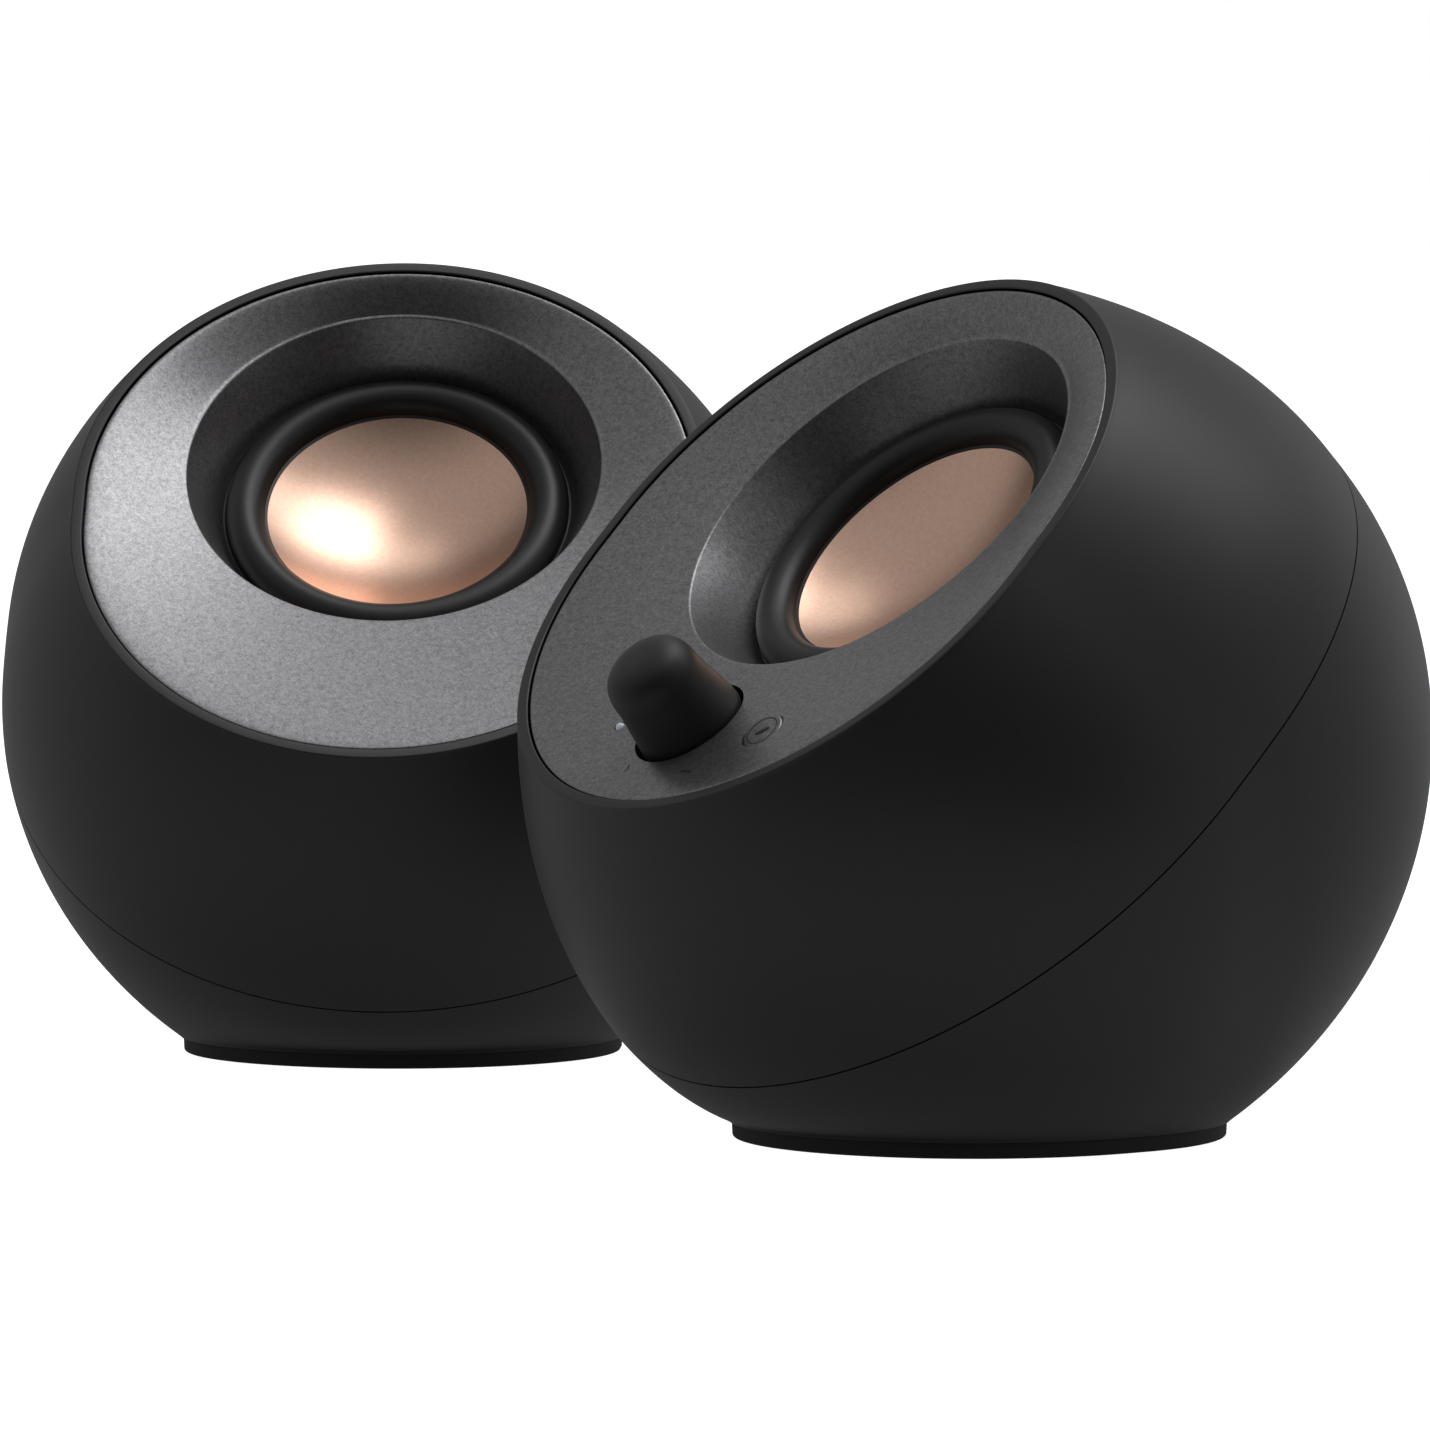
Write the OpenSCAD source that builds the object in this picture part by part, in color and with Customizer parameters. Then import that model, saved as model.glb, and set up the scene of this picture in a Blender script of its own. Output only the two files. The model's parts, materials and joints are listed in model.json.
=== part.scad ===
// A pair of round desktop speakers with upward-tilted faces.
// The right speaker faces -Y with its foot's centre at the origin. The left one stands beside it.

/* [Body] */
// Radius of the round rear body
ball_r = 59.4; // [58:0.2:62]
// Wall of the two shells
wall = 2.4; // [1.8:0.2:2.6]
// How far the face's normal stands up from level
face_tilt = 45.2; // [42:0.2:48]
// Half-width of the body at the front rim
rim_r = 46.6; // [46:0.2:47.4]
// Depth from the face back to the seam between the shells
seam_depth = 39.4; // [37:0.2:41]
// How far the front shell bows out past a straight flare
flare_bow = 3.5; // [0:0.1:4]
// Height of the rubber foot
foot_h = 2.2; // [2:0.2:4]

/* [Placing] */
// How far to its left the left speaker stands from the right one
left_x = -155.7; // [-180:0.1:-150]
// How far back the left speaker stands
left_y = 16.7; // [0:0.1:40]
// Turn of the left speaker towards the right one
left_turn = 49.5; // [0:0.5:60]

/* [Face] */
// Half-width of the face plate
plate_r = 44.6; // [44:0.1:44.8]
// Depth of the plate's dish at the driver opening
dish_depth = 3.7; // [2:0.1:4]
// How far the driver sits above the plate's centre
driver_up = 11.5; // [10:0.5:12]
// Radius of the driver opening at the plate
recess_r = 30.7; // [29:0.1:31]
// Radius of the driver opening at its bottom
throat_r = 25.8; // [25:0.1:26]

/* [Driver] */
// Radius of the metal cone's rim
cone_r = 19.5; // [18:0.1:20]
// Depth of the cone's dish
cone_depth = 6; // [4:0.1:8]
// Radius where the rubber roll meets the basket
roll_r = 24.9; // [24:0.1:25.2]

/* [Controls] */
// Distance of the knob below the plate's centre
knob_down = 32; // [30:0.1:33]
// Radius of the volume knob at its base
knob_r = 7.6; // [7:0.1:8.4]
// Height of the knob above the plate
knob_h = 11.2; // [9:0.1:14]
// Radius of the round source button
button_r = 3.1; // [2.5:0.1:3.5]
// Bore radius of the jacks, which take a 3.5 mm plug
jack_r = 1.8; // [1.78:0.01:1.82]

/* [Hidden] */
$fn = 96;

// Front-back offsets are along -Y, so "front" is negative Y.
face_front = 29.05;
face_h = 82.5;
ball_front = 1.45;
ball_h = 54.3;
ball_half = 4.95;
ball_lean = 15.5;
plate_oval = 3;
seam_oval = 4.3;
foot_r = 33.2;
foot_oval = 1.7;
seam_gap = 0.1;

rim_rise = 0.3;
rim_edge = 0.5;
plate_t = 2;
funnel_t = 1.8;
funnel_bottom = -13.2;
gasket_t = 0.8;
flange_z = funnel_bottom - gasket_t;
flange_t = 1.5;
flange_r = 29;
ear_r = 30.5;
gasket_r = 28.6;
roll_z = -13.5;
cone_z = roll_z;
cone_t = 0.6;
coil_r = 9.5;
coil_t = 0.5;
spider_z = -23.6;
basket_bottom = -29.7;
magnet_r = 21;
magnet_top = -32.7;
magnet_bottom = -40.7;

knob_floor = -2.2;
knob_shoulder = 5.2;
knob_side = -0.3;
hole_gap = 0.6;
shaft_r = 3;
board_z = -14;
board_t = 1.6;
button_pos = [17, -33];
led_pos = [-13.3, -34];
button_travel = 0.5;

post_r = 3.5;
post_out = 43;
screw_r = 1.25;

radiator_h = 55.5;
radiator_r = 29;
radiator_seat = 51.5;
radiator_plate_r = 19;

panel_y = 46.5;
panel_low = 17.4;
panel_high = 25.8;
panel_half = 19;
jack_h = 22;
jack_x = [-11, 0, 11];
main_z = 17.4;

// Where things go: the tilted face, the driver's axis, the back, and the left speaker.
module on_face() translate([0, -face_front, face_h]) rotate([90 - face_tilt, 0, 0]) children();
module on_driver() on_face() translate([0, driver_up, 0]) children();
module on_back(y, z) translate([0, y, z]) rotate([-90, 0, 0]) children();
module left() translate([left_x, left_y, 0]) rotate(left_turn) children();

// A disc drawn out a little along Y.
module oval(r, stretch) {
  translate([0, stretch]) circle(r = r);
  translate([0, -stretch]) circle(r = r);
  square([2 * r, 2 * stretch], center = true);
}
module oval_slab(r, stretch, z0, z1) translate([0, 0, z0]) linear_extrude(z1 - z0) oval(r, stretch);
module ring(r_out, r_in, z0, z1) translate([0, 0, z0]) linear_extrude(z1 - z0) difference() {
  circle(r = r_out);
  circle(r = r_in);
}
module rod(r, z0, z1) translate([0, 0, z0]) cylinder(r = r, h = z1 - z0);

// The round body: a ball drawn out along a line that leans up towards the back.
module ball(r) {
  translate([0, -ball_front, ball_h]) rotate([ball_lean - 90, 0, 0]) rotate_extrude() {
    intersection() {
      translate([0, ball_half]) circle(r = r);
      translate([0, ball_half]) square([r, r]);
    }
    intersection() {
      translate([0, -ball_half]) circle(r = r);
      translate([0, -ball_half - r]) square([r, r]);
    }
    translate([0, -ball_half]) square([r, 2 * ball_half]);
  }
}
module behind_seam(gap) on_face() translate([-100, -100, -seam_depth - gap - 200]) cube([200, 200, 200]);

// The front shell's outline at a share t of the way back from rim to seam.
function flare_r(t) = rim_r + (ball_r - rim_r) * t + flare_bow * 4 * t * (1 - t);
function flare_oval(t) = plate_oval + (seam_oval - plate_oval) * t;
module flare(inset, z_front) hull() {
  for (i = [0:6])
    oval_slab(flare_r(i / 6) - inset, flare_oval(i / 6), z_front - (seam_depth + z_front) * i / 6 - 0.01,
              z_front - (seam_depth + z_front) * i / 6);
}
module at_posts() for (a = [0:90:270]) rotate(a)
  translate([post_out + (a % 180 == 0 ? 0 : seam_oval), 0]) children();

module front_shell() color("#2b2c2d") on_face() difference() {
  union() {
    difference() {
      union() {
        flare(0, -rim_edge);
        oval_slab(rim_r - rim_edge, plate_oval, -1, rim_rise);
      }
      flare(wall, -4);
      oval_slab(plate_r + 0.4, plate_oval, -plate_t - 0.1, 1);
      oval_slab(plate_r - 2.2, plate_oval, -6, 1);
    }
    at_posts() {
      rod(post_r, -seam_depth, 7 - seam_depth);
      translate([0, -1.5, -seam_depth]) cube([15, 3, 6]);
    }
  }
  at_posts() rod(1.6, -seam_depth - 1, 8 - seam_depth);
}

module rear_shell(holes) color("#262728") difference() {
  union() {
    difference() {
      intersection() {
        ball(ball_r);
        behind_seam(seam_gap);
        translate([-100, -100, foot_h]) cube([200, 200, 200]);
      }
      intersection() {
        ball(ball_r - wall);
        translate([-100, -100, foot_h + wall]) cube([200, 200, 200]);
      }
    }
    intersection() {
      ball(ball_r - 0.5);
      union() {
        on_back(radiator_seat - 3, radiator_h) rod(radiator_r + 2.2, 0, 20);
        translate([-panel_half - wall, panel_y - wall, panel_low - wall])
          cube([2 * (panel_half + wall), 20, panel_high - panel_low + 2 * wall]);
      }
    }
    on_face() at_posts() {
      rod(post_r, -seam_depth - 10, -seam_depth - 0.5);
      translate([0, -1.5, -seam_depth - 6]) cube([15, 3, 5.5]);
    }
  }
  on_back(radiator_seat, radiator_h) rod(radiator_r + 0.1, 0, 20);
  on_back(0, radiator_h) rod(radiator_r - 3, 0, 80);
  on_back(0, radiator_h) for (a = [45:90:315]) rotate(a) translate([radiator_r - 1.7, 0]) rod(0.9, 0, 80);
  translate([-panel_half, panel_y, panel_low]) cube([2 * panel_half, 20, panel_high - panel_low]);
  for (x = holes) translate([x, 0, 0]) on_back(30, jack_h) rod(3, 0, 40);
  on_face() at_posts() rod(screw_r + 0.05, -seam_depth - 9, -seam_depth + 1);
}

module foot_pad() color("#0c0c0c") linear_extrude(foot_h) oval(foot_r, foot_oval);

// The plate: a rim, a pan that dishes towards the driver, a funnel, and four screw bosses.
module face_plate(controls) color("#4c4d50") on_face() difference() {
  union() {
    oval_slab(plate_r, plate_oval, -plate_t, 0);
    hull() {
      oval_slab(plate_r - 2.8, plate_oval, -plate_t - 0.01, -plate_t);
      translate([0, driver_up + 0.2]) ring_disc(recess_r + 2.2, -dish_depth - 2.2);
    }
    translate([0, driver_up]) {
      translate([0, 0, funnel_bottom])
        cylinder(r1 = throat_r + funnel_t, r2 = recess_r + funnel_t, h = -funnel_bottom - dish_depth);
      at_ears() rod(2.3, flange_z, -dish_depth - 1);
    }
  }
  hull() {
    oval_slab(plate_r - 0.6, plate_oval, 0, 0.01);
    translate([0, driver_up]) ring_disc(recess_r, -dish_depth);
  }
  translate([0, driver_up]) {
    translate([0, 0, funnel_bottom])
      cylinder(r1 = throat_r, r2 = recess_r, h = -funnel_bottom - dish_depth + 0.001);
    rod(throat_r, funnel_bottom - 2, funnel_bottom + 0.5);
    rod(recess_r + 0.06, -dish_depth, 1);
    at_ears() rod(screw_r + 0.05, flange_z - 1, flange_z + 6);
  }
  if (controls) {
    translate([knob_side, -knob_down]) rod(knob_r + hole_gap, -20, 1);
    translate(button_pos) rod(button_r + 0.12, -20, 1);
    translate(led_pos) rod(0.8, -20, 1);
  }
}
module ring_disc(r, z) translate([0, 0, z]) cylinder(r = r, h = 0.01);
module at_ears() for (a = [45:90:315]) rotate(a) translate([ear_r, 0]) children();

module driver_gasket() color("#161616") on_driver() ring(gasket_r - 0.8, throat_r + 0.1, flange_z, funnel_bottom);

module driver_basket() color("#1d1e20") on_driver() difference() {
  union() {
    rod(flange_r - 0.4, flange_z - flange_t, flange_z);
    at_ears() rod(3.2, flange_z - flange_t, flange_z);
    translate([0, 0, basket_bottom + 1.5])
      cylinder(r1 = 19, r2 = 26, h = flange_z - flange_t - basket_bottom - 1.5);
    rod(20, basket_bottom, basket_bottom + 1.5);
  }
  difference() {
    translate([0, 0, basket_bottom + 1.5]) cylinder(r1 = 17.6, r2 = 24.4, h = flange_z - basket_bottom - 1.4);
    ring(22, 16.6, spider_z - 1.2, spider_z - 0.4);
  }
  rod(11.4, basket_bottom - 1, basket_bottom + 2);
  for (a = [0:90:270]) rotate(a) translate([13, -7, basket_bottom + 3]) cube([20, 14, 2.6]);
  for (a = [0:90:270]) rotate(a) translate([13, -7, spider_z + 1]) cube([20, 14, 5]);
  at_ears() rod(screw_r + 0.2, flange_z - 3, flange_z + 1);
}

// A half-roll of rubber from r_in to r_out, standing proud of z.
module half_roll(r_in, r_out, z, t, lip) rotate_extrude() {
  translate([(r_in + r_out) / 2, z]) intersection() {
    difference() {
      circle(r = (r_out - r_in) / 2);
      circle(r = (r_out - r_in) / 2 - t);
    }
    translate([-r_out, 0]) square([2 * r_out, r_out]);
  }
  translate([r_in - lip, z - t]) square([lip + t, t + 0.01]);
  translate([r_out - t, z - t]) square([lip + t, t + 0.01]);
}
module driver_surround() color("#101112") on_driver() half_roll(cone_r + 0.35, roll_r, roll_z, 0.5, 0.3);

// The cone is a cap of a sphere, hollow side out.
function dish_r(r, d) = (r * r + d * d) / (2 * d);
module driver_cone() color("#c99478") on_driver() rotate_extrude() intersection() {
  big = dish_r(cone_r, cone_depth);
  translate([0, cone_z - cone_depth + big]) difference() {
    circle(r = big + cone_t, $fn = 360);
    circle(r = big, $fn = 360);
  }
  translate([0, cone_z - cone_depth - cone_t]) square([cone_r, cone_depth + cone_t]);
}
module voice_coil() color("#b0703c") on_driver() ring(coil_r + coil_t, coil_r, magnet_top - 2.5, cone_z - 5.4);
module spider() color("#8c6d3f") on_driver() rotate_extrude() {
  translate([coil_r + coil_t + 0.01, spider_z - 0.4]) square([7.5, 0.4]);
  for (i = [0:2]) translate([12.1 + 2 * i, spider_z]) intersection() {
    difference() {
      circle(r = 0.9, $fn = 24);
      circle(r = 0.6, $fn = 24);
    }
    translate([-1, -0.01]) square([2, 1]);
  }
}
module top_plate() color("#8d9094") on_driver() ring(magnet_r - 1, coil_r + coil_t + 0.4, magnet_top, basket_bottom);
module magnet() color("#3a3a3c") on_driver() ring(magnet_r, 13, magnet_bottom, magnet_top);
module yoke() color("#8d9094") on_driver() {
  rod(magnet_r - 1, magnet_bottom - 3, magnet_bottom);
  rod(coil_r - 0.4, magnet_bottom - 0.01, basket_bottom);
}
module screw(head_r, head_h, r, length) {
  rod(head_r, -head_h, 0);
  rod(r, -0.01, length);
}
module driver_screws() color("#777777") on_driver() at_ears()
  translate([0, 0, flange_z - flange_t]) screw(2.3, 1.4, screw_r, flange_t + 5);
module shell_screws() color("#777777") on_face() at_posts()
  translate([0, 0, 7 - seam_depth]) mirror([0, 0, 1]) screw(2.5, 1.6, screw_r, 14);

module radiator_frame() color("#1d1e20") on_back(radiator_seat, radiator_h) difference() {
  ring(radiator_r, radiator_r - 4.5, 0, 3);
  for (a = [45:90:315]) rotate(a) translate([radiator_r - 1.7, 0]) rod(0.9, -1, 4);
}
module radiator_surround() color("#101112")
  on_back(radiator_seat + 0.6, radiator_h) half_roll(radiator_plate_r, radiator_r - 4.6, 0, 0.5, 0.01);
module radiator_plate() color("#1a1b1c") on_back(radiator_seat, radiator_h) {
  rod(radiator_plate_r - 0.02, -0.5, 1);
  rod(radiator_plate_r - 6, 0.9, 1.8);
}
module radiator_screws() color("#2a2a2a") on_back(radiator_seat + 3, radiator_h)
  for (a = [45:90:315]) rotate(a) translate([radiator_r - 1.7, 0]) mirror([0, 0, 1]) screw(1.4, 0.8, 0.85, 5.5);

// Controls on the right speaker's face.
module volume_knob() color("#1c1d1e") on_face() translate([knob_side, -knob_down]) difference() {
  rotate_extrude() polygon([
    [0, knob_floor - 1], [knob_r, knob_floor - 1], [knob_r, knob_floor + 0.7],
    for (a = [0:5:90])
      [(knob_r - 0.95) * pow(cos(a), 0.68), knob_shoulder + (knob_h - knob_shoulder) * pow(sin(a), 0.68)]
  ]);
  rod(shaft_r + 0.02, knob_floor - 2, knob_floor + 9);
}
module pot_shaft() color("#9a9c9e") on_face() translate([knob_side, -knob_down])
  rod(shaft_r, board_z + 2, knob_floor + 8.9);
module pot_body() color("#35553a") on_face() translate([knob_side, -knob_down]) difference() {
  union() {
    rod(7.5, board_z, board_z + 6);
    rod(4.2, board_z + 5.9, knob_floor - 3);
  }
  rod(shaft_r + 0.04, board_z + 1.5, 0);
}
module control_board() color("#1f4a2c") on_face() difference() {
  translate([-23, -43, board_z - board_t]) cube([46, 21.5, board_t]);
  for (x = [-20, 20]) translate([x, -40]) rod(1.2, board_z - 5, board_z + 1);
}
module source_button() color("#3a3b3d") on_face() translate(button_pos) {
  rod(button_r, -5.2, knob_floor + 0.45);
  rod(button_r + 0.9, -6.2, -5.2);
  rod(1.5, board_z + 3.5 + button_travel + 0.1, -5.5);
}
module source_switch() color("#777777") on_face() translate(button_pos) {
  translate([-3, -3, board_z]) cube([6, 6, 2.8]);
  rod(1.7, board_z + 2.7, board_z + 3.5);
}
module led_pipe() color("#f4f6ff") on_face() translate(led_pos) {
  rod(1.6, board_z, -6.2);
  rod(0.75, -5.5, -1.2);
}

// Electronics and the rear panel.
module main_board() color("#1f4a2c") difference() {
  translate([-18, 8, main_z]) cube([36, 31, board_t]);
  for (x = [-15, 15]) translate([x, 12, 0]) rod(1.4, main_z - 1, main_z + 3);
}
module board_screws() color("#777777") for (x = [-15, 15]) translate([x, 12, main_z + board_t])
  mirror([0, 0, 1]) screw(2.4, 1.4, 1.25, 5);
module jack(x) translate([x, 0, 0]) on_back(panel_y - wall - 0.1, jack_h) difference() {
  union() {
    translate([-3.4, -2.9, -12]) cube([6.8, 5.8, 12]);
    rod(2.9, -0.1, wall + 0.4);
  }
  rod(jack_r, -11, wall + 1);
}
module aux_jack() color("#101010") jack(jack_x[0]);
module link_jack() color("#101010") jack(jack_x[1]);
module gland(x) translate([x, 0, 0]) on_back(panel_y - wall - 0.1, jack_h) difference() {
  union() {
    rod(3.8, -1.6, 0);
    rod(2.9, -0.1, wall + 1.2);
  }
  rod(1.6, -3, wall + 2);
}
module usb_gland() color("#151515") gland(jack_x[2]);
module link_gland() color("#151515") gland(0);

front_shell();  // right_front_shell
rear_shell(jack_x);  // right_rear_shell
face_plate(true);  // right_face_plate
foot_pad();  // right_foot_pad
driver_gasket();  // right_driver_gasket
driver_basket();  // right_driver_basket
driver_surround();  // right_driver_surround
driver_cone();  // right_driver_cone
voice_coil();  // right_voice_coil
spider();  // right_spider
top_plate();  // right_top_plate
magnet();  // right_magnet
yoke();  // right_yoke
driver_screws();  // right_driver_screws
radiator_frame();  // right_radiator_frame
radiator_surround();  // right_radiator_surround
radiator_plate();  // right_radiator_plate
radiator_screws();  // right_radiator_screws
shell_screws();  // right_shell_screws
volume_knob();
pot_shaft();
pot_body();
control_board();
source_button();
source_switch();
led_pipe();
main_board();
aux_jack();
link_jack();
usb_gland();
board_screws();
left() front_shell();  // left_front_shell
left() rear_shell([0]);  // left_rear_shell
left() face_plate(false);  // left_face_plate
left() foot_pad();  // left_foot_pad
left() driver_gasket();  // left_driver_gasket
left() driver_basket();  // left_driver_basket
left() driver_surround();  // left_driver_surround
left() driver_cone();  // left_driver_cone
left() voice_coil();  // left_voice_coil
left() spider();  // left_spider
left() top_plate();  // left_top_plate
left() magnet();  // left_magnet
left() yoke();  // left_yoke
left() driver_screws();  // left_driver_screws
left() radiator_frame();  // left_radiator_frame
left() radiator_surround();  // left_radiator_surround
left() radiator_plate();  // left_radiator_plate
left() radiator_screws();  // left_radiator_screws
left() shell_screws();  // left_shell_screws
left() link_gland();
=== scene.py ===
# %% [markdown]
# # A pair of round desktop speakers
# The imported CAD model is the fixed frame. Everything here is in metres, in that frame: the right speaker
# stands on its foot at the origin and faces -Y, and the left one stands beside it, turned towards it.
# Each cell below makes one thing and prints what it made.

import json
import math

import bmesh
import bpy
import numpy as np
from mathutils import Matrix, Vector


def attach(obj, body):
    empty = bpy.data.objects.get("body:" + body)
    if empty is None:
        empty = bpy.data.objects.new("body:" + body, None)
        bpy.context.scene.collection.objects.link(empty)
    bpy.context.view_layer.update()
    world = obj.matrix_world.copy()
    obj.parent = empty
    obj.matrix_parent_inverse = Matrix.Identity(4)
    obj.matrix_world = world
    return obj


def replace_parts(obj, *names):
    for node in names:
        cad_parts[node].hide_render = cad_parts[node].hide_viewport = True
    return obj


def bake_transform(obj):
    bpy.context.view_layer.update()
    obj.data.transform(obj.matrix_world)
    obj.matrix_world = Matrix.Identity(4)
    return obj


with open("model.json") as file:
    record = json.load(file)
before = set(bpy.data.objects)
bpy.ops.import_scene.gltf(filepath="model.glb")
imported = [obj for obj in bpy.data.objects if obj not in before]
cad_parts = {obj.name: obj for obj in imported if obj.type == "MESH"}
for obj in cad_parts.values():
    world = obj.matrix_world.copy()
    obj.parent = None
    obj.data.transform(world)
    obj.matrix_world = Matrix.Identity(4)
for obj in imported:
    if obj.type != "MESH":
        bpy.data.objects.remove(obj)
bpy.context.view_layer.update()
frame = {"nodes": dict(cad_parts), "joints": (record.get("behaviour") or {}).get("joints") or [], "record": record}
MM = 0.001

# %% [markdown]
# ## Where things go
# A speaker's face is a flat plane that leans back. It is easiest to shape the face's parts in the face's own
# coordinates, x to the side, y up the slope and z straight out of it, and to carry the finished points into
# place with one matrix. The joint of the volume knob gives the slope, because the knob turns about the face's
# normal, and the mounts give the place of each foot.

# %% Frames of the two speakers
joints = {j["name"]: j for j in frame["joints"]}
mounts = {m["name"]: m for m in frame["record"]["mounts"]}
knob_axis = Vector(joints["volume_turn"]["axis"]).normalized()
face_tilt = math.asin(knob_axis.z)
left_axis = Vector(joints["left_cone_travel"]["axis"])
left_turn = math.atan2(left_axis.x, -left_axis.y)

KNOB_AT = (-0.3, -32.0)
DRIVER_UP = 11.5
face_lean = Matrix.Rotation(math.pi / 2 - face_tilt, 4, "X")
knob_foot = Vector(joints["volume_turn"]["pos_m"])
face_centre = knob_foot - face_lean @ Vector((KNOB_AT[0] * MM, KNOB_AT[1] * MM, 0))

STAND = {
    "right": Matrix.Translation(mounts["right_rest"]["pos_m"]),
    "left": Matrix.Translation(mounts["left_rest"]["pos_m"]) @ Matrix.Rotation(left_turn, 4, "Z"),
}
SIZE = Matrix.Scale(MM, 4)
FACE = {side: stand @ Matrix.Translation(face_centre) @ face_lean @ SIZE for side, stand in STAND.items()}
DRIVER = {side: face @ Matrix.Translation((0, DRIVER_UP, 0)) for side, face in FACE.items()}
KNOB = FACE["right"] @ Matrix.Translation((*KNOB_AT, 0))
print("face leans back to", round(math.degrees(face_tilt), 1), "degrees; left turn",
      round(math.degrees(left_turn), 1))

# %% [markdown]
# ## The camera
# The view is a product shot with a long lens, so that the two round bodies keep their shape. The camera looks
# down a little, and stands off to the right speaker's own left, which is why that face is seen from the side.

# %% Camera
VIEW_TURN = math.radians(51.8)
VIEW_PITCH = math.radians(3.37)
CAMERA_BACK = 1460.7 * MM
CAMERA_LEFT = 36.4 * MM
CAMERA_HEIGHT = 143.9 * MM

camera_data = bpy.data.cameras.new("product_camera")
camera_data.sensor_width = 36
camera_data.lens = 268.2
camera_data.clip_end = 20
camera = bpy.data.objects.new("product_camera", camera_data)
bpy.context.scene.collection.objects.link(camera)
view_spin = Matrix.Rotation(VIEW_TURN, 4, "Z")
camera.matrix_world = (view_spin @ Matrix.Translation((-CAMERA_LEFT, -CAMERA_BACK, CAMERA_HEIGHT))
                       @ Matrix.Rotation(math.pi / 2 - VIEW_PITCH, 4, "X"))
bpy.context.scene.camera = camera
print("camera at", [round(v, 3) for v in camera.matrix_world.translation])

# %% [markdown]
# ## Tools for smooth skins
# Every piece is a grid of points: rows that run along a profile, and columns that run around. A round piece
# is a lathe, where each profile point (r, z) becomes the circle (r cos a, r sin a, z). Corners of a profile
# are rounded with an arc: for a corner whose sides meet at the angle w, the arc of radius r starts
# r / tan(w / 2) from the corner and its centre lies r / sin(w / 2) away, along the line that halves the
# angle. Shapes here are in millimetres, and the matrix that places a piece also turns them into metres.

# %% Skins, lathes and rounded profiles
def rounded(corners, steps=6):
    """Points of a line through (x, y, radius) corners, where each corner is an arc of its radius."""
    spots = np.array([c[:2] for c in corners], float)
    line = [spots[:1]]
    for before, here, after, (_, _, radius) in zip(spots[:-2], spots[1:-1], spots[2:], corners[1:-1]):
        back, on = before - here, after - here
        reach = 0.49 * min(np.linalg.norm(back), np.linalg.norm(on))
        back, on = back / np.linalg.norm(back), on / np.linalg.norm(on)
        half = math.acos(np.clip(back @ on, -1, 1)) / 2
        if radius == 0 or half > 1.5:
            line.append(here[None])
            continue
        tangent = min(radius / math.tan(half), reach)
        radius = tangent * math.tan(half)
        middle = here + (back + on) / np.linalg.norm(back + on) * radius / math.sin(half)
        start, end = here + back * tangent - middle, here + on * tangent - middle
        share = np.linspace(0, 1, steps + 1)[:, None]
        swing = math.pi - 2 * half
        way = np.sin((1 - share) * swing) * start + np.sin(share * swing) * end
        line.append(middle + way / math.sin(swing))
    line.append(spots[-1:])
    return np.vstack(line)

def finish_mesh(name, mesh, place, sharp=38):
    """An object of a mesh: seams welded, normals outwards, and smooth but for edges sharper than that many
    degrees."""
    work = bmesh.new()
    work.from_mesh(mesh)
    bmesh.ops.remove_doubles(work, verts=work.verts, dist=1e-5)
    bmesh.ops.recalc_face_normals(work, faces=work.faces)
    work.to_mesh(mesh)
    work.free()
    mesh.transform(place)
    mesh.shade_smooth()
    mesh.set_sharp_from_angle(angle=math.radians(sharp))
    piece = bpy.data.objects.new(name, mesh)
    bpy.context.scene.collection.objects.link(piece)
    return piece

def skin(name, rows, place, loop=False, sharp=38):
    """A skin through rows of points. Each row closes on itself, and loop joins the last row to the first."""
    rows = np.asarray(rows, float)
    index = np.arange(rows.shape[0] * rows.shape[1]).reshape(rows.shape[:2])
    low, high = (index, np.roll(index, -1, 0)) if loop else (index[:-1], index[1:])
    quads = np.stack([low, np.roll(low, -1, 1), np.roll(high, -1, 1), high], -1).reshape(-1, 4)
    mesh = bpy.data.meshes.new(name)
    mesh.from_pydata(rows.reshape(-1, 3).tolist(), [], quads.tolist())
    return finish_mesh(name, mesh, place, sharp)

def turned(profile, around=128):
    """Rows of a lathe: each (r, z) of the profile swept to (r cos a, r sin a, z)."""
    profile = np.asarray(profile, float)
    angle = np.linspace(0, 2 * math.pi, around, endpoint=False)
    radius, height = profile[:, :1], profile[:, 1:2]
    return np.stack([radius * np.cos(angle), radius * np.sin(angle), height + 0 * angle], -1)

def lathe(name, profile, place, around=128, loop=False, sharp=38):
    """A round piece from its profile."""
    return skin(name, turned(profile, around), place, loop, sharp)

def tube(name, r_in, r_out, z_low, z_high, place, edge=0.2, around=128):
    """A ring with rounded edges, as a closed loop of (r, z)."""
    middle = (r_in + r_out) / 2
    profile = rounded([(middle, z_low, 0), (r_out, z_low, edge), (r_out, z_high, edge), (r_in, z_high, edge),
                       (r_in, z_low, edge), (middle, z_low, 0)], 4)[:-1]
    return lathe(name, profile, place, around, loop=True)

def carve(piece, *cutters, how="DIFFERENCE"):
    """The piece with each cutter's solid taken out of it, or joined to it, or with only their common part
    kept. The cutters are used up."""
    for cutter in cutters:
        cut = piece.modifiers.new("cut", "BOOLEAN")
        cut.object, cut.operation, cut.solver = cutter, how, "EXACT"
    bpy.context.view_layer.update()
    carved = bpy.data.meshes.new_from_object(piece.evaluated_get(bpy.context.evaluated_depsgraph_get()))
    piece.modifiers.clear()
    piece.data = carved
    for cutter in cutters:
        bpy.data.objects.remove(cutter)
    carved.shade_smooth()
    carved.set_sharp_from_angle(angle=math.radians(38))
    return piece

print("tools ready")

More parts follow.
